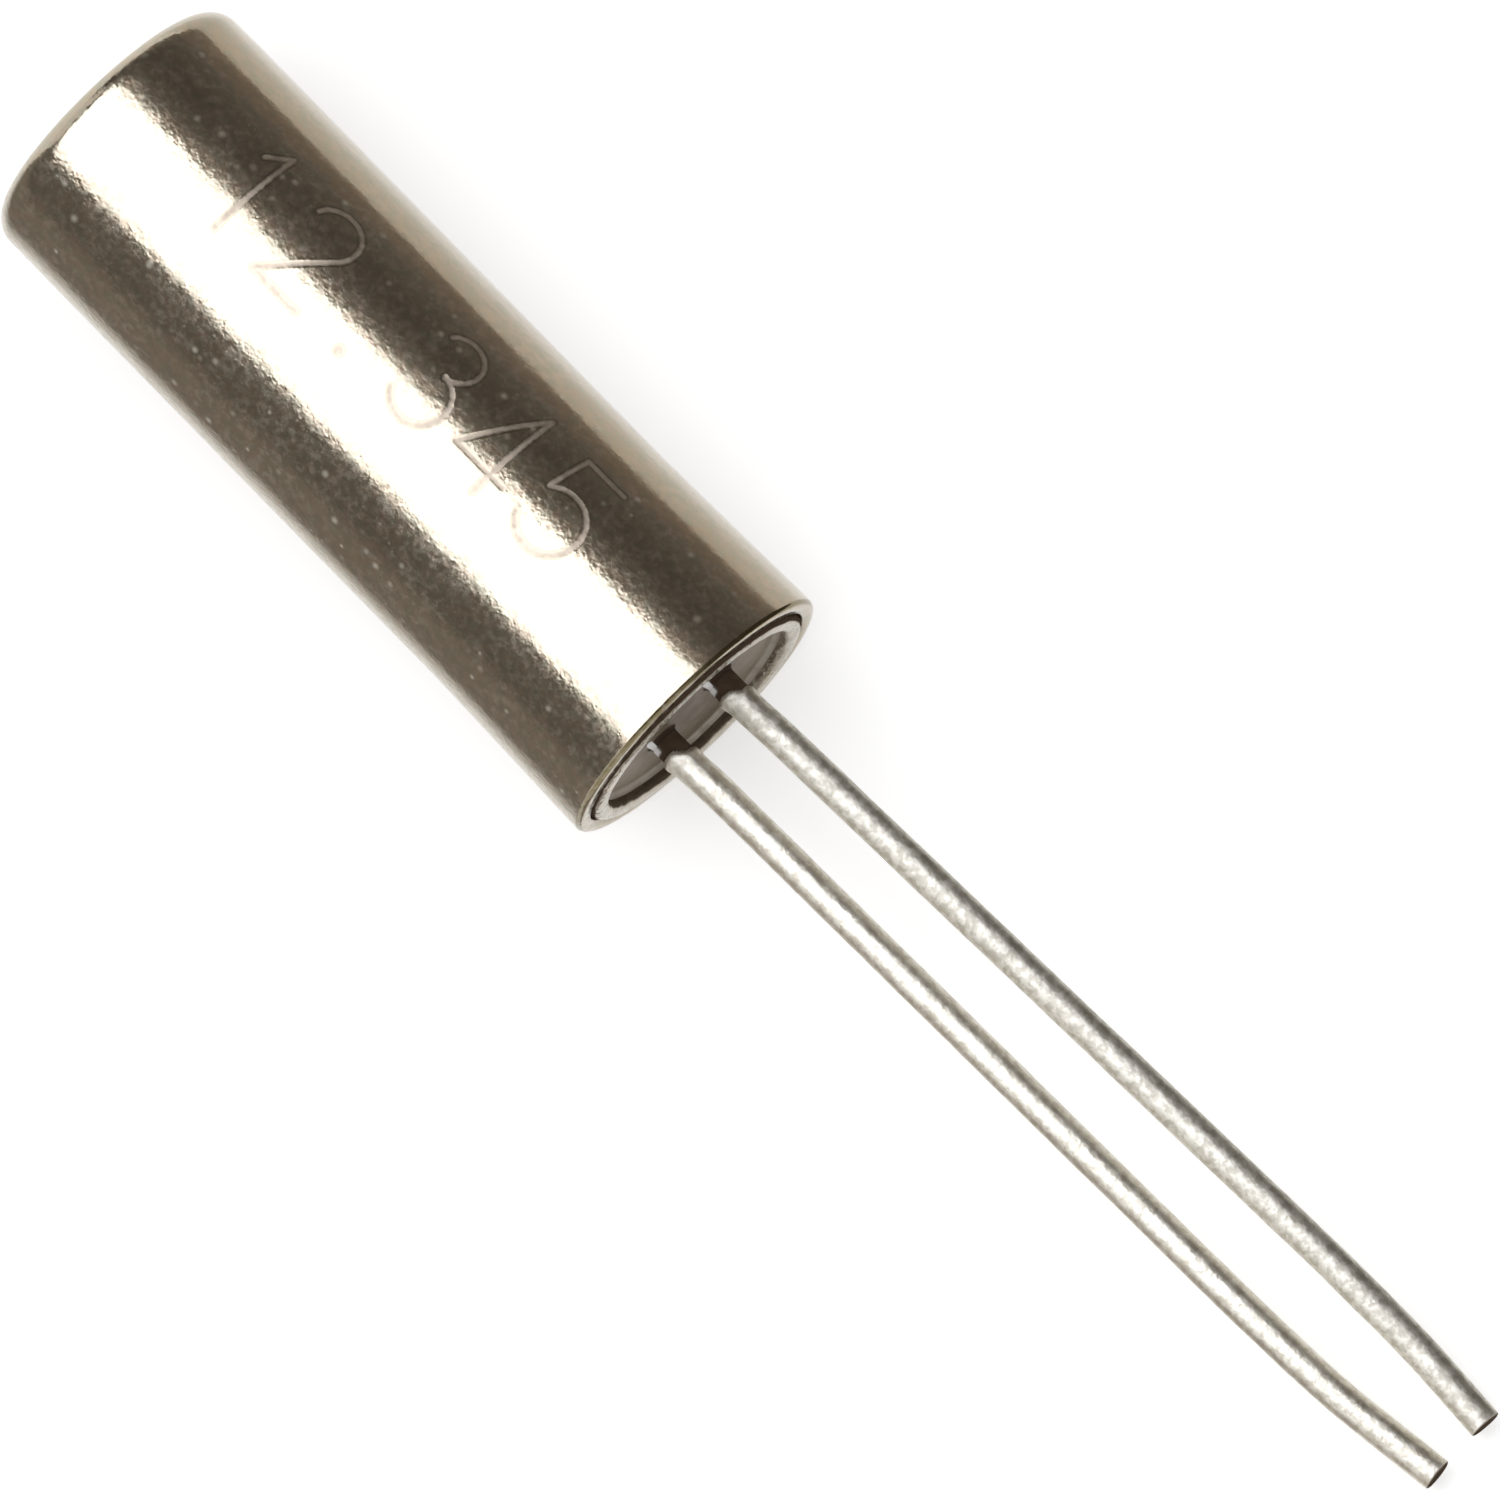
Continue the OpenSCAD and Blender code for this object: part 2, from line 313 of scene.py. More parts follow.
def even_path(line):
    """A line in even steps, its kinks rounded off: each point's place along it, and the points."""
    length = np.concatenate([[0], np.cumsum(np.linalg.norm(np.diff(line, axis=0), axis=1))])
    along = np.arange(0, length[-1], PATH_STEP)
    path = np.stack([np.interp(along, length, line[:, k]) for k in range(3)], axis=1)
    kernel = np.hanning(SMOOTH_SPAN)
    kernel /= kernel.sum()
    run = np.arange(1, SMOOTH_PAD + 1)[:, None]
    padded = np.concatenate([
        path[0] + (path[0] - path[1]) * run[::-1],
        path,
        path[-1] + (path[-1] - path[-2]) * run,
    ])
    smooth = np.stack([np.convolve(padded[:, k], kernel, "same") for k in range(3)], axis=1)
    return along, smooth[SMOOTH_PAD:-SMOOTH_PAD]


def lead_stations(mouth_at, total):
    """Places along a lead for its rings of points, closest where the coat starts and at the tip."""
    glass_at = mouth_at - GLASS_RECESS
    coated_at = mouth_at + 0.4 * MM
    tip_at = total - 0.1 * MM
    return np.concatenate([
        steps(0, glass_at, 0.25 * MM),
        steps(glass_at, coated_at, 0.01 * MM),
        steps(coated_at, tip_at, 0.018 * MM),
        steps(tip_at, total - 0.0015 * MM, 0.006 * MM),
        [total],
    ])


def flattened(offset, seat):
    """A point's offset from the wire's centre, kept below the flat that faces along seat."""
    over = float(np.dot(offset, seat)) - SEAT_H
    return offset - np.array(seat) * over if over > 0 else offset


def glint_side(angle):
    """1 on the side of a wire where light catches its foot, and 0 elsewhere round it."""
    return float(smoothstep((-math.cos(angle) - 0.55) / 0.2)) * (math.sin(angle) > -0.3)


def make_lead(node, seed, coat_start, seat):
    """A lead: bare wire inside and at the glass, then solder that covers it unevenly to the tip."""
    line, end = lead_line(node)
    inner_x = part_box(node)[0].x
    root = line[line[:, 0] < MOUTH_X + ROOT_STRAIGHT * 0.8].mean(axis=0)
    straight = line[:, 0] < MOUTH_X + ROOT_STRAIGHT
    line[straight, 1:] = root[1:]
    line[:, 1] += drift(node, line[:, 0] - MOUTH_X)
    end[1] += drift(node, end[0] - MOUTH_X)
    along, path = even_path(np.concatenate([[[inner_x, root[1], root[2]]], line, [end]]))
    total = along[-1]
    mouth_at = MOUTH_X - inner_x

    def at(s):
        """The point so far along the path."""
        return np.stack([np.interp(s, along, path[:, k]) for k in range(3)], axis=-1)

    angles = np.linspace(0, math.tau, LEAD_SIDES, endpoint=False)
    starts = np.array([coat_start + coat_delay(a, seed) for a in angles])
    flank = np.array([glint_side(a) for a in angles])
    fork_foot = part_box("quartz_fork")[1].x
    rings = []
    coats = []
    glints = []
    for s in lead_stations(mouth_at, total):
        centre = at(s)
        tangent = at(min(s + PATH_STEP, total)) - at(max(s - PATH_STEP, 0))
        tangent /= np.linalg.norm(tangent)
        side = np.cross((0, 0, 1.0), tangent)
        side /= np.linalg.norm(side)
        up = np.cross(tangent, side)
        beyond = s - mouth_at
        lean = CUT_SLANT * COAT_R * float(smoothstep(1 - (total - s) / SNIP_LEN))
        ring = []
        for a, start in zip(angles, starts):
            out = side * math.cos(a) + up * math.sin(a)
            r = lead_radius(beyond - start, total - s, a, out, centre, seed)
            offset = out * r - tangent * lean * (1 + math.sin(a))
            if centre[0] < fork_foot:
                offset = flattened(offset, seat)
            ring.append(centre + offset)
        rings.append(ring)
        uncut = float(smoothstep((total - s - 0.004 * MM) / (0.010 * MM)))
        coats += (smoothstep((beyond - starts) / (0.015 * MM)) * uncut).tolist()
        glints += (flank * float(smoothstep((0.005 * MM - beyond) / (0.03 * MM)))).tolist()
    end_cap = at(total) - tangent * CUT_SLANT * COAT_R
    piece = tube_mesh(node + "_wire", np.array(rings), at(0), end_cap)
    set_attribute(piece, "coat", np.array(coats))
    set_attribute(piece, "glint", np.array(glints))
    set_attribute(piece, "frost", np.full(len(coats), FROST[node]))
    return piece


def coat_delay(angle, seed):
    """How much later the coat starts at an angle round the wire: latest on the right."""
    ragged = noise.noise(Vector((2.5 * math.cos(angle), 2.5 * math.sin(angle), seed * 5.7)))
    return 0.085 * MM * float(smoothstep((math.cos(angle) + 0.25) / 0.8)) + 0.015 * MM * ragged


def lead_radius(coated, to_tip, angle, out, centre, seed):
    """The lead's radius so far along its coat, in the direction out."""
    if coated < 0:
        return WIRE_R
    place = Vector(centre + out * COAT_R) / MM + Vector((seed * 7.3, 0, 0))
    shoulder = 0.04 * MM
    grow = math.sqrt(max(0.0, 1 - (1 - min(coated / shoulder, 1)) ** 2))
    bead = 0.014 * MM * math.exp(-((coated - 0.05 * MM) / (0.06 * MM)) ** 2)
    bead *= 0.6 + 0.7 * max(0.0, -math.cos(angle))
    slow = noise.noise(Vector((place.x * 0.9, math.sin(angle) * 0.3, seed * 3.1))) * 0.004 * MM
    sag = noise.noise(Vector((place.x * 2.3, place.y * 3, place.z * 3))) * 0.0025 * MM
    lump = noise.noise(place * 6.0) * 0.0012 * MM
    fade = min(1.0, coated / (0.15 * MM))
    r = WIRE_R + (COAT_R - WIRE_R) * grow + bead + (slow + sag + lump) * fade
    if to_tip < BURR:
        r -= BURR * (1 - math.sqrt(max(0.0, 1 - (1 - to_tip / BURR) ** 2)))
    return r


# ---------------------------------------------------------------- materials

class Finish:
    """One material's node tree, with short calls for the nodes that the finishes share."""

    def __init__(self, name):
        self.material = bpy.data.materials.new(name)
        self.material.use_nodes = True
        self.tree = self.material.node_tree
        self.shader = self.tree.nodes["Principled BSDF"]
        self.place = self.node("ShaderNodeTexCoord").outputs["Object"]

    def node(self, kind, **settings):
        """A new node of a kind, with its settings."""
        made = self.tree.nodes.new(kind)
        for key, value in settings.items():
            setattr(made, key, value)
        return made

    def plug(self, value, socket):
        """Sets a socket to a constant, or links it to another socket."""
        if isinstance(value, bpy.types.NodeSocket):
            self.tree.links.new(value, socket)
        else:
            socket.default_value = value

    def set(self, **values):
        """Sets or links inputs of the shader, whose names have _ for each space."""
        for key, value in values.items():
            self.plug(value, self.shader.inputs[key.replace("_", " ")])

    def place_in_mm(self):
        """The object's coordinates in millimetres."""
        mapping = self.node("ShaderNodeMapping")
        self.plug(self.place, mapping.inputs["Vector"])
        mapping.inputs["Scale"].default_value = (1 / MM, 1 / MM, 1 / MM)
        return mapping.outputs["Vector"]

    def noise(self, scale, detail=3.0, rough=0.55):
        """Noise with so many waves a millimetre."""
        made = self.node("ShaderNodeTexNoise")
        self.plug(self.place_in_mm(), made.inputs["Vector"])
        made.inputs["Scale"].default_value = scale
        made.inputs["Detail"].default_value = detail
        made.inputs["Roughness"].default_value = rough
        return made.outputs["Fac"]

    def pits(self, scale, radius, share):
        """1 in the middle of small round pits, which a share of the scattered cells carry."""
        made = self.node("ShaderNodeTexVoronoi")
        self.plug(self.place_in_mm(), made.inputs["Vector"])
        made.inputs["Scale"].default_value = scale
        shade = self.node("ShaderNodeSeparateColor")
        self.plug(made.outputs["Color"], shade.inputs["Color"])
        carries = self.math("LESS_THAN", shade.outputs["Red"], share)
        size = self.ramp(shade.outputs["Green"], 0.0, 1.0, radius * 0.5, radius)
        inside = self.minus(1.0, self.math("DIVIDE", made.outputs["Distance"], size))
        return self.times(self.ramp(inside, 0.0, 1.0), carries)

    def ramp(self, value, low, high, to_low=0.0, to_high=1.0):
        """Maps low..high to to_low..to_high, smoothly and within those ends."""
        made = self.node("ShaderNodeMapRange", interpolation_type="SMOOTHSTEP")
        self.plug(value, made.inputs["Value"])
        for key, number in (("From Min", low), ("From Max", high),
                            ("To Min", to_low), ("To Max", to_high)):
            made.inputs[key].default_value = number
        return made.outputs["Result"]

    def math(self, operation, a, b=0.0):
        """The result of a math node on one or two values."""
        made = self.node("ShaderNodeMath", operation=operation)
        self.plug(a, made.inputs[0])
        self.plug(b, made.inputs[1])
        return made.outputs[0]

    def joined(self, operation, values):
        """Several values joined by one operation, from the first to the last."""
        result = values[0]
        for value in values[1:]:
            result = self.math(operation, result, value)
        return result

    def times(self, *factors):
        return self.joined("MULTIPLY", factors)

    def plus(self, *terms):
        return self.joined("ADD", terms)

    def minus(self, start, *taken):
        return self.joined("SUBTRACT", (start, *taken))

    def largest(self, *values):
        return self.joined("MAXIMUM", values)

    def mix(self, share, a, b):
        """Colour a where share is 0 and b where it is 1."""
        made = self.node("ShaderNodeMix", data_type="RGBA")
        self.plug(share, made.inputs["Factor"])
        for colour, socket in ((a, made.inputs[6]), (b, made.inputs[7])):
            self.plug(colour if isinstance(colour, bpy.types.NodeSocket) else (*colour, 1), socket)
        return made.outputs[2]

    def place_on(self, axis):
        """The place along an axis, in metres."""
        made = self.node("ShaderNodeSeparateXYZ")
        self.plug(self.place, made.inputs[0])
        return made.outputs[axis]

    def from_line(self, y, z, flat=1.0):
        """The distance from the line along X through (y, z), with heights counted flat times."""
        dy = self.minus(self.place_on("Y"), float(y))
        dz = self.times(self.minus(self.place_on("Z"), float(z)), flat)
        return self.math("SQRT", self.plus(self.times(dy, dy), self.times(dz, dz)))

    def attribute(self, name):
        """The number that set_attribute stored under a name."""
        return self.node("ShaderNodeAttribute", attribute_name=name).outputs["Fac"]

    def bump(self, height, unit):
        """The surface's direction over a height, given in units of so many metres."""
        made = self.node("ShaderNodeBump")
        self.plug(height, made.inputs["Height"])
        made.inputs["Strength"].default_value = 1.0
        made.inputs["Distance"].default_value = unit
        return made.outputs["Normal"]


def seam_shift(f):
    """How far each edge of the painted shade in the seam between can and ring draws in: most on the
    left side.
    """
    return f.ramp(f.place_on("Y"), -1.3 * MM, 0.3 * MM, 0.022 * MM, 0.0)


def can_metal():
    """Bright drawn nickel silver: fine dimples, soft mottling and small light spots that are partly
    dust and partly painted glints, a painted dark reflection on the lip, and painted shade in the
    seam at the mouth.
    """
    f = Finish("can_metal")
    along, across = f.place_on("X"), f.place_on("Y")
    cut = f.attribute("cut")
    radius = f.plus(f.from_line(0, AXIS_Z), f.times(f.noise(8.0, 3), 0.02 * MM))
    # Painted shade: the bore at the mouth, in the seam against the ring, is coloured dark brown and
    # made matt.
    bore = f.ramp(f.plus(radius, seam_shift(f)), BORE_R + 0.020 * MM, BORE_R + 0.035 * MM, 1, 0)
    recess_shade = f.times(bore, f.ramp(along, MOUTH_X - 0.12 * MM, MOUTH_X - 0.08 * MM))
    # Painted reflection: the lip's outer rounding is coloured dark olive, for the dark surroundings
    # that it reflects.
    lip = f.times(f.ramp(radius, MOUTH_R - 0.035 * MM, MOUTH_R - 0.010 * MM),
                  f.ramp(along, MOUTH_X - 0.055 * MM, MOUTH_X - 0.040 * MM))

    # Dust and mottling gather in clusters. They and the motes are fainter on the right side. The pale
    # specks are partly painted glints in the dark zones
    clusters = f.noise(1.3, 2)
    side = f.ramp(across, -0.3 * MM, 0.5 * MM, 1.0, 0.45)
    worn = f.times(side, f.ramp(along, -8.1 * MM, -7.2 * MM, 1.0, 0.7))
    spots = f.largest(f.pits(7.0, 0.24, 0.5), f.times(f.pits(12.0, 0.27, 0.4), 0.8))
    dust = f.times(spots, f.ramp(clusters, 0.36, 0.58, 0.25, 1.0), worn)
    glint_motes = f.times(f.pits(4.5, 0.30, 0.75), side)
    mottle = f.times(f.ramp(f.noise(11.0, 2, 0.6), 0.44, 0.70),
                     f.ramp(clusters, 0.30, 0.62, 0.3, 1.0), side)
    specks_and_glints = f.largest(f.times(dust, 0.5), glint_motes, f.times(mottle, 0.24))

    tarnish = f.ramp(f.noise(1.1, 4), 0.42, 0.75)
    metal = f.mix(tarnish, (0.475, 0.40, 0.305), (0.435, 0.36, 0.265))
    metal = f.mix(f.ramp(f.noise(9.0, 3, 0.6), 0.40, 0.62), metal, (0.41, 0.375, 0.285))
    marked = f.mix(cut, metal, (0.45, 0.38, 0.30))
    # Painted shade: the strokes' raised rims are coloured darker, a dark outline for the shadow along
    # each stroke.
    marked = f.mix(f.times(f.attribute("rim"), 0.6), marked, (0.22, 0.185, 0.14))
    # Painted reflection on the lip.
    colour = f.mix(lip, marked, (0.20, 0.165, 0.09))
    # Partly dust, partly painted glints: pale, less metallic specks.
    colour = f.mix(f.times(specks_and_glints, 0.9), colour, (0.60, 0.555, 0.48))
    # Painted shade: the seam at the mouth turns dark brown.
    colour = f.mix(recess_shade, colour, (0.065, 0.043, 0.028))

    calm = f.ramp(across, 0.90 * MM, 1.15 * MM, 1.0, 0.35)
    patchy = f.times(f.ramp(f.noise(1.6, 2), 0.35, 0.65, 0.5, 1.0), calm)
    dimples = f.plus(f.times(f.noise(17.0, 1.0), 3.0), f.times(f.noise(9.0, 2.0, 0.6), 2.9))
    height = f.minus(f.times(dimples, patchy), f.times(spots, calm, 0.8))

    haze = f.ramp(f.noise(16.0, 2, 0.5), 0.30, 0.72, 0.0, 0.12)
    blotch = f.times(f.ramp(f.noise(10.0, 2, 0.5), 0.35, 0.72), f.ramp(clusters, 0.30, 0.62), side)
    polish = f.ramp(f.noise(3.0, 3), 0.3, 0.75, 0.09, 0.14)
    rough = f.plus(polish, f.times(haze, calm), f.times(blotch, 0.06),
                   f.times(dust, dust, 0.30), f.times(cut, 0.31), f.times(recess_shade, 0.40))
    metallic = f.minus(1.0, recess_shade, f.times(specks_and_glints, 0.6))
    f.set(Base_Color=colour, Metallic=metallic, Roughness=rough, Normal=f.bump(height, MICRON))
    f.shader.inputs["Specular IOR Level"].default_value = 0.0
    return f.material


def ring_metal():
    """Tinned eyelet: bright, lumpy and patchy, with painted shade where it meets the can, on its bore
    wall and over its top.
    """
    f = Finish("ring_metal")
    radius = f.plus(f.from_line(0, AXIS_Z), f.times(f.noise(6.0, 3), 0.03 * MM))
    # Painted shade: the ring's edge in the seam against the can, and its bore wall by the glass, are
    # coloured dark and made matt; the wall less so towards +Y.
    seam = f.ramp(f.minus(radius, seam_shift(f)), BORE_R - 0.040 * MM, BORE_R - 0.022 * MM)
    wall = f.ramp(radius, GLASS_R + 0.022 * MM, GLASS_R + 0.042 * MM, 1, 0)
    wall = f.times(wall, f.ramp(f.place_on("Y"), 0.30 * MM, 0.70 * MM, 0.95, 0.25))
    recess_shade = f.largest(seam, wall)
    patches = f.ramp(f.noise(3.5, 3), 0.35, 0.7)
    tin = f.mix(patches, (0.535, 0.487, 0.41), (0.39, 0.346, 0.28))
    # Painted shade: the ring's top is coloured darker than the rest.
    top = f.ramp(f.place_on("Z"), AXIS_Z + 0.85 * MM, AXIS_Z + 1.25 * MM, 0, 0.75)
    colour = f.mix(top, tin, (0.24, 0.215, 0.17))
    colour = f.mix(wall, colour, (0.080, 0.062, 0.040))
    colour = f.mix(seam, colour, (0.075, 0.050, 0.034))
    rough = f.ramp(f.noise(9.0, 3), 0.3, 0.7, 0.14, 0.28)
    height = f.plus(f.times(f.noise(7.0, 2), 42.0), f.times(f.noise(16.0, 2), 9.0))
    f.set(Base_Color=colour, Metallic=f.minus(1.0, f.times(recess_shade, 0.9)),
          Roughness=f.plus(rough, f.times(recess_shade, 0.35)), Normal=f.bump(height, MICRON))
    f.shader.inputs["Specular IOR Level"].default_value = 0.0
    return f.material


def seal_glass(feet):
    """Sealing glass: smooth warm grey, with painted reflections: paler towards its ends, a pale band
    along its edge at the ring, dark round each wire, and a glint beside each wire's foot.
    """
    f = Finish("seal_glass")
    cloud = f.ramp(f.noise(2.5, 4), 0.35, 0.7)
    body = f.mix(cloud, (0.165, 0.126, 0.088), (0.205, 0.160, 0.114))
    # Painted reflection: the glass is coloured paler towards its two ends across the mouth, where it
    # reflects the lit floor.
    sides = f.ramp(f.math("ABSOLUTE", f.place_on("Y")), 0.25 * MM, 0.95 * MM)
    body = f.mix(sides, body, (0.33, 0.28, 0.222))
    # Painted reflection: a pale, patchy band along the glass's edge at the ring, where its meniscus
    # reflects the floor at a grazing angle.
    rim = f.ramp(f.from_line(0, AXIS_Z), GLASS_R - 0.06 * MM, GLASS_R - 0.015 * MM)
    rim = f.times(rim, f.ramp(f.noise(6.0, 2), 0.3, 0.6, 0.5, 1.0))
    colour = f.mix(rim, body, (0.50, 0.46, 0.40))
    dull = 0.0
    for foot in feet:
        # Painted reflection: the glass round each wire's foot is coloured dark brown and made matt,
        # as it mirrors the dark bare wire.
        wire_reflection = f.ramp(f.from_line(foot[1], foot[2]), WIRE_R + 0.020 * MM, WIRE_R + 0.045 * MM, 1, 0)
        colour = f.mix(wire_reflection, colour, (0.055, 0.034, 0.022))
        dull = f.largest(dull, wire_reflection)
        # Painted highlight: a near-white glint on the glass beside each wire's foot.
        glint = f.from_line(foot[1] - 0.83 * WIRE_R, foot[2] + 0.13 * MM, 0.35)
        colour = f.mix(f.ramp(glint, 0.028 * MM, 0.045 * MM, 1, 0), colour, (1.0, 0.99, 0.98))
    f.set(Base_Color=colour,
          Roughness=f.plus(f.ramp(f.noise(6.0, 2), 0.3, 0.7, 0.42, 0.55), f.times(dull, 0.4)),
          Normal=f.bump(f.noise(3.0, 2), 0.8 * MICRON))
    f.shader.inputs["IOR"].default_value = 1.5
    f.shader.inputs["Specular IOR Level"].default_value = 0.15
    return f.material


def lead_metal():
    """Solder-dipped wire, frosted and finely mottled; dark oxide where the wire is bare, with a
    painted glint at its foot.
    """
    f = Finish("lead_metal")
    coat, frost, glint = f.attribute("coat"), f.attribute("frost"), f.attribute("glint")
    cells = f.noise(12.0, 2, 0.6)
    bright = f.mix(frost, (0.75, 0.715, 0.62), (0.655, 0.625, 0.55))
    dull = f.mix(frost, (0.62, 0.575, 0.48), (0.48, 0.45, 0.38))
    solder = f.mix(f.ramp(cells, 0.39, 0.59), dull, bright)
    oxide = f.mix(f.noise(8.0, 3), (0.055, 0.036, 0.024), (0.125, 0.088, 0.062))
    # Painted highlight: the bare wire turns near-white where the glint attribute is 1.
    oxide = f.mix(glint, oxide, (1.0, 0.99, 0.98))
    height = f.plus(f.times(cells, 7.0), f.times(f.noise(5.0, 2), 4.0))
    rough = f.plus(f.ramp(f.noise(7.0, 3, 0.6), 0.3, 0.7, 0.34, 0.46), f.times(frost, 0.12))
    bare = f.times(f.minus(1.0, coat), 0.30)
    f.set(Base_Color=f.mix(coat, oxide, solder), Metallic=coat,
          Roughness=f.plus(rough, bare), Normal=f.bump(height, MICRON))
    f.shader.inputs["Specular IOR Level"].default_value = 0.0
    return f.material


def quartz():
    """Polished quartz that carries thin metal film along its tines and foot."""
    f = Finish("quartz")
    waves = f.node("ShaderNodeTexWave", bands_direction="Y")
    f.plug(f.place_in_mm(), waves.inputs["Vector"])
    waves.inputs["Scale"].default_value = 0.8
    waves.inputs["Distortion"].default_value = 0.1
    film = f.ramp(waves.outputs["Fac"], 0.55, 0.6)
    worn = f.times(film, f.ramp(f.noise(6.0, 3), 0.25, 0.4))
    colour = f.mix(worn, (0.88, 0.90, 0.92), (0.83, 0.62, 0.28))
    f.set(Base_Color=colour, Metallic=worn, Roughness=f.ramp(f.noise(12.0), 0.3, 0.7, 0.04, 0.14),
          Normal=f.bump(f.noise(9.0, 2), MICRON))
    f.shader.inputs["Transmission Weight"].default_value = 0.85
    f.shader.inputs["IOR"].default_value = 1.54
    return f.material


def joint_solder():
    """Satin solder with a slightly frosted skin."""
    f = Finish("joint_solder")
    frost = f.noise(9.0, 4)
    colour = f.mix(f.ramp(frost, 0.35, 0.7), (0.68, 0.68, 0.67), (0.52, 0.51, 0.49))
    f.set(Base_Color=colour, Metallic=1.0, Roughness=f.ramp(frost, 0.3, 0.7, 0.22, 0.42),
          Normal=f.bump(f.noise(16.0, 3), 4 * MICRON))
    return f.material


# ---------------------------------------------------------------- stage, light and camera

def look_rays(tree):
    """1 for camera, glossy and transmission rays, and 0 for the rest."""
    path = tree.nodes.new("ShaderNodeLightPath")
    value = path.outputs["Is Camera Ray"]
    for name in ("Is Glossy Ray", "Is Transmission Ray"):
        top = tree.nodes.new("ShaderNodeMath")
        top.operation = "MAXIMUM"
        tree.links.new(value, top.inputs[0])
        tree.links.new(path.outputs[name], top.inputs[1])
        value = top.outputs[0]
    return value


def stage_object(name, points, faces, material):
    """A mesh that belongs to the stage and not to the part."""
    mesh = bpy.data.meshes.new(name)
    mesh.from_pydata([Vector(p) for p in points], [], faces)
    mesh.materials.append(material)
    item = bpy.data.objects.new(name, mesh)
    bpy.context.scene.collection.objects.link(item)
    return item


def stage_material(name):
    """A new material, its node tree, and the socket that takes its surface."""
    material = bpy.data.materials.new(name)
    material.use_nodes = True
    tree = material.node_tree
    tree.nodes.clear()
    return material, tree, tree.nodes.new("ShaderNodeOutputMaterial").inputs["Surface"]


def card_glow():
    """Light of the colour that a card's rows give."""
    material, tree, surface = stage_material("card_glow")
    colour = tree.nodes.new("ShaderNodeAttribute")
    colour.attribute_name = "glow"
    light = tree.nodes.new("ShaderNodeEmission")
    tree.links.new(colour.outputs["Color"], light.inputs["Color"])
    tree.links.new(light.outputs[0], surface)
    return material


def card(name, material, rows):
    """A card that shows only in reflections. Each of its rows is (one end, other end, colour)."""
    points = [p for start, end, _ in rows for p in (start, end)]
    faces = [(2 * i, 2 * i + 1, 2 * i + 3, 2 * i + 2) for i in range(len(rows) - 1)]
    item = stage_object(name, points, faces, material)
    attribute = item.data.attributes.new("glow", "FLOAT_COLOR", "POINT")
    colours = [c for _, _, colour in rows for _ in range(2) for c in (*colour, 1)]
    attribute.data.foreach_set("color", colours)
    item.visible_camera = False
    item.visible_diffuse = False
    item.visible_shadow = False
    item.visible_transmission = False


def folded(name, material, x_from, x_to, rows):
    """A card along the can, folded along X. Each of its rows is (y, height, colour), in mm."""
    card(name, material, [((x_from, y * MM, z * MM), (x_to, y * MM, z * MM), colour)
                          for y, z, colour in rows])


def floor_material():
    """White floor: its own colour and shadow, lifted to the white of the background."""
    material, tree, surface = stage_material("floor_white")
    paper = tree.nodes.new("ShaderNodeBsdfDiffuse")
    paper.inputs["Color"].default_value = (FLOOR_ALBEDO, FLOOR_ALBEDO, FLOOR_ALBEDO, 1)
    lift = tree.nodes.new("ShaderNodeEmission")
    amount = tree.nodes.new("ShaderNodeMath")
    amount.operation = "MULTIPLY"
    tree.links.new(look_rays(tree), amount.inputs[0])
    amount.inputs[1].default_value = FLOOR_LIFT
    tree.links.new(amount.outputs[0], lift.inputs["Strength"])
    both = tree.nodes.new("ShaderNodeAddShader")
    tree.links.new(paper.outputs[0], both.inputs[0])
    tree.links.new(lift.outputs[0], both.inputs[1])
    tree.links.new(both.outputs[0], surface)
    return material


def make_world():
    """White where it is looked at, and plain soft light for the rest."""
    world = bpy.data.worlds.new("studio")
    bpy.context.scene.world = world
    world.use_nodes = True
    tree = world.node_tree
    background = tree.nodes["Background"]
    background.inputs["Color"].default_value = (1, 1, 1, 1)
    strength = tree.nodes.new("ShaderNodeMapRange")
    tree.links.new(look_rays(tree), strength.inputs["Value"])
    strength.inputs["To Min"].default_value = AMBIENT
    strength.inputs["To Max"].default_value = 1.0
    tree.links.new(strength.outputs["Result"], background.inputs["Strength"])


def slope(degrees):
    """How far a ray at an angle from straight up goes sideways for each metre it climbs."""
    return math.tan(math.radians(degrees))


def dusk(level):
    """A dim warm grey."""
    return (level, level * 0.91, level * 0.84)


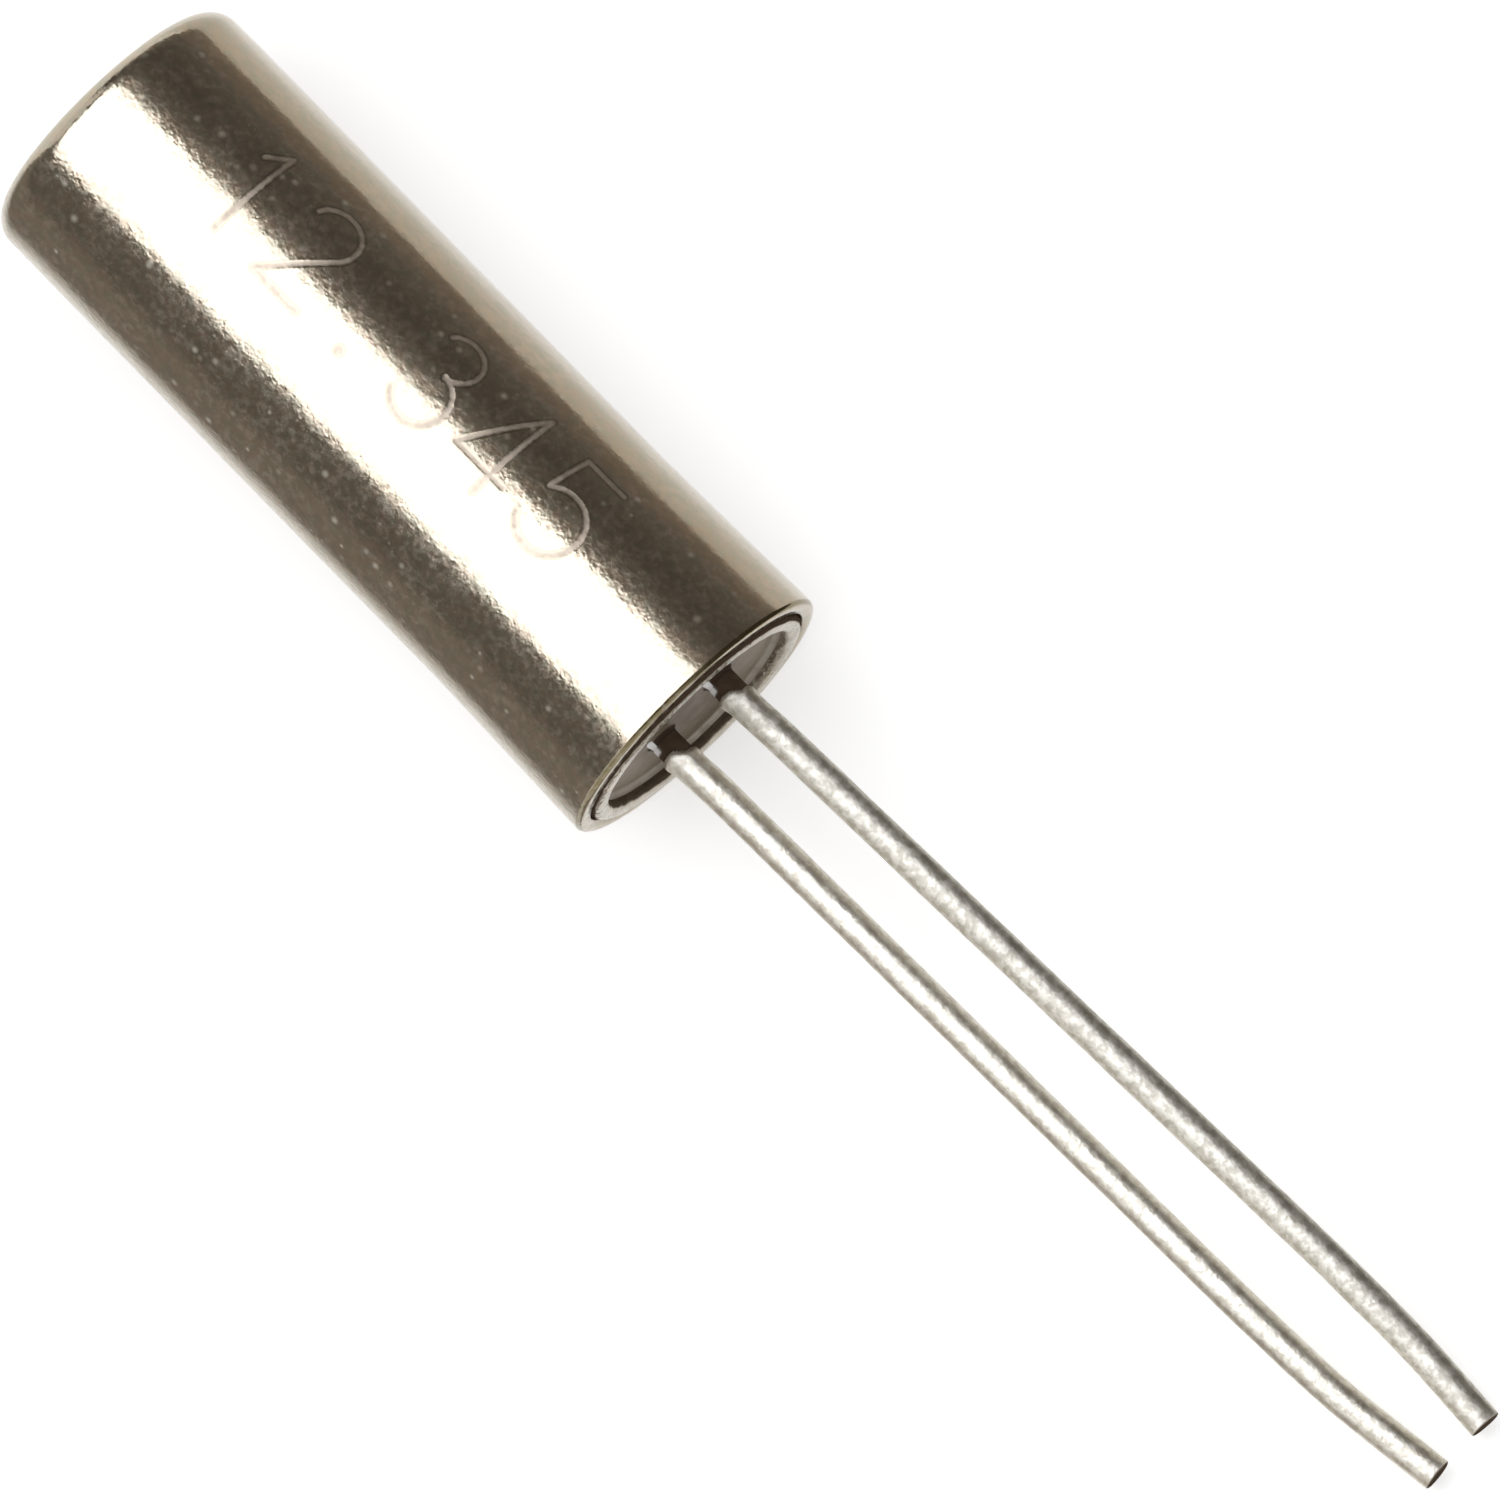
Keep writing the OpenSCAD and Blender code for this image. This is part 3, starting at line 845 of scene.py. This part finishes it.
def make_stage():
    """The floor, and cards that give the can and the leads their bright and dark bands."""
    corners = [(x * FLOOR_HALF, y * FLOOR_HALF, 0) for x, y in ((-1, -1), (1, -1), (1, 1), (-1, 1))]
    stage_object("floor", corners, [(0, 1, 2, 3)], floor_material())

    material = card_glow()
    height = 0.20
    left, right = slope(-47) * height, slope(23) * height
    white, dark = (3.3, 3.4, 3.7), dusk(0.12)
    ceiling = []
    for angle, colour in ((-57, white), (9, white), (18, dark), (50, dark)):
        x = slope(angle) * height
        ceiling.append(((x, left, height), (x, right, height), colour))
    card("ceiling", material, ceiling)
    far = slope(-57) * height
    card("far_wall", material, [((far, left, z), (far, right, z), dark) for z in (0.15, height)])

    folded("wall_right", material, -0.2, 0.2, (
        (9, 0, (0.31, 0.25, 0.21)), (9, 0.8, (0.28, 0.235, 0.205)), (9, 2.8, dusk(0.185)),
        (9, 4.7, dusk(0.148)), (9, 7, dusk(0.115)), (9, 10, dusk(0.120)), (9, 13, dusk(0.16)),
        (9, 18, dusk(0.27)), (9, 24, dusk(0.60))))
    # The floor cards glow with the floor's tone as the can reflects it, white by the can and darker
    # out towards the walls: a painted reflection of the floor and its shade.
    folded("floor_right", material, CARD_BACK, MOUTH_X, (
        (2.9, 0.01, (0.97, 0.98, 0.98)), (4.2, 0.01, (0.87, 0.84, 0.80)),
        (8.99, 0.01, (0.75, 0.705, 0.66))))
    folded("wall_left", material, CARD_BACK, MOUTH_X, (
        (-3.5, 0, dusk(0.28)), (-3.5, 2, dusk(0.31)), (-3.5, 3, dusk(0.18)), (-3.5, 5.4, dusk(0.21))))
    # Painted reflection of the floor and its shade, as above.
    folded("floor_left", material, CARD_BACK, MOUTH_X, (
        (-2.5, 0.01, (0.97, 0.98, 1.0)), (-3.49, 0.01, (0.52, 0.50, 0.47))))

    root_x, tip_x = MOUTH_X + 0.3 * MM, 9.3 * MM
    warm = (0.118, 0.104, 0.084)
    card("leads_right", material, [
        ((root_x, 4.2 * MM, 0), (tip_x, 1.3 * MM, 0), warm),
        ((root_x, 4.2 * MM, 4 * MM), (tip_x, 1.3 * MM, 1.3 * MM), warm),
    ])
    grey = dusk(0.42)
    card("leads_left", material, [
        ((root_x, -1.9 * MM, 0), (tip_x, -0.5 * MM, 0), grey),
        ((root_x, -1.9 * MM, 1.85 * MM), (tip_x, -0.5 * MM, 0.3 * MM), grey),
    ])


def make_lamp():
    """A wide soft lamp above, for the shadow; in reflections the ceiling card stands for it."""
    data = bpy.data.lights.new("soft_lamp", "AREA")
    data.shape = "SQUARE"
    data.size = 0.30
    data.energy = 0.34
    lamp = bpy.data.objects.new("soft_lamp", data)
    bpy.context.scene.collection.objects.link(lamp)
    lamp.location = (-0.10, -0.05, 0.30)
    lamp.rotation_euler = Vector(lamp.location).to_track_quat("Z", "Y").to_euler()
    lamp.visible_glossy = False
    lamp.visible_camera = False


def make_camera():
    """A long lens at the photographed angle: nearly straight down, the leads to lower right."""
    along = Vector((math.cos(VIEW_TILT), 0, -math.sin(VIEW_TILT)))
    across = Vector((0, 1, 0))
    back = Vector((math.sin(VIEW_TILT), 0, math.cos(VIEW_TILT)))
    right = along * math.cos(VIEW_ROLL) + across * math.sin(VIEW_ROLL)
    up = across * math.cos(VIEW_ROLL) - along * math.sin(VIEW_ROLL)
    data = bpy.data.cameras.new("camera")
    data.sensor_width = 36
    data.lens = data.sensor_width * CAMERA_DISTANCE / VIEW_WIDTH
    data.clip_start = 0.01
    data.clip_end = 20
    camera = bpy.data.objects.new("camera", data)
    bpy.context.scene.collection.objects.link(camera)
    target = Vector((MOUTH_X, 0, AXIS_Z)) + right * VIEW_SHIFT[0] + up * VIEW_SHIFT[1]
    place = target + back * CAMERA_DISTANCE
    camera.matrix_world = Matrix((
        (right.x, up.x, back.x, place.x),
        (right.y, up.y, back.y, place.y),
        (right.z, up.z, back.z, place.z),
        (0, 0, 0, 1),
    ))
    bpy.context.scene.camera = camera


# ---------------------------------------------------------------- the part

def lead_foot(node):
    """Where a lead's centre passes the mouth."""
    line, _ = lead_line(node)
    return line[0]


left_foot, right_foot = lead_foot("lead_left"), lead_foot("lead_right")
roll = math.atan2(right_foot[2] - left_foot[2], right_foot[1] - left_foot[1])
seat = Vector((0, -math.sin(roll), math.cos(roll)))     # faced by the flats that carry the fork

make_camera()
make_world()
make_stage()
make_lamp()

can = make_can()
can.data.materials.append(can_metal())
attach(can, "root")
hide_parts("can")

wire_finish = lead_metal()
for node, seed, coat_start in (("lead_left", 1, 0.065 * MM), ("lead_right", 2, 0.06 * MM)):
    lead = make_lead(node, seed, coat_start, seat)
    lead.data.materials.append(wire_finish)
    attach(lead, "root")
    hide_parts(node)

joint_finish = joint_solder()
for node, finish in (
    ("header_ring", ring_metal()),
    ("glass_seal", seal_glass((left_foot, right_foot))),
    ("quartz_fork", quartz()),
    ("solder_joint_left", joint_finish),
    ("solder_joint_right", joint_finish),
):
    for material_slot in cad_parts[node].material_slots:
        material_slot.material = finish

scene = bpy.context.scene
scene.view_settings.view_transform = "Standard"
